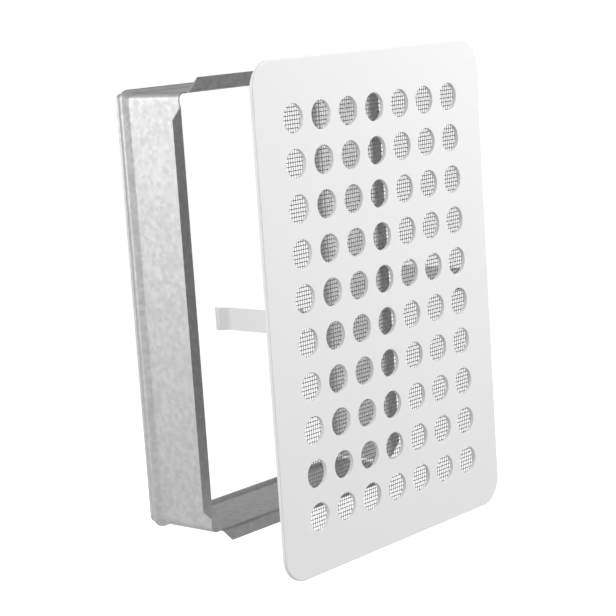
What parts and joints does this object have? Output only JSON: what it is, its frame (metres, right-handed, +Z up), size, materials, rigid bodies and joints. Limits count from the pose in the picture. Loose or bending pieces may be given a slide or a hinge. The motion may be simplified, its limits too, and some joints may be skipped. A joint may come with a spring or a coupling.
{
  "type": "ventilation grille",
  "caption": "Rectangular wall ventilation grille: a perforated white face panel with wire mesh and spring clips, pulled off its folded galvanised mounting frame.",
  "frame": {"origin": "centre of the wall opening, in the plane of the wall's surface, where the back of the frame's flange lies", "axes": "+Z up along the grille's height, +Y into the wall along the duct, +X to the right as seen from the room"},
  "size_m": [0.165, 0.1, 0.235],
  "materials": {
    "galvanised_sheet": "hot-dip galvanised with a fine spangle",
    "white_powder_coat": "satin powder coat",
    "galvanised_wire": "drawn and galvanised",
    "white_painted_spring_steel": "satin paint"
  },
  "bodies": {
    "frame": {"mounting_frame": "galvanised_sheet"},
    "panel": {"face_plate": "white_powder_coat", "wire_mesh": "galvanised_wire", "spring_clip_left": "white_painted_spring_steel", "spring_clip_right": "white_painted_spring_steel"}
  },
  "joints": [
    {"name": "panel_push_in", "type": "slide", "parent": "frame", "child": "panel", "axis": [0, 1, 0], "range_m": [0, 0.0552]}
  ]
}
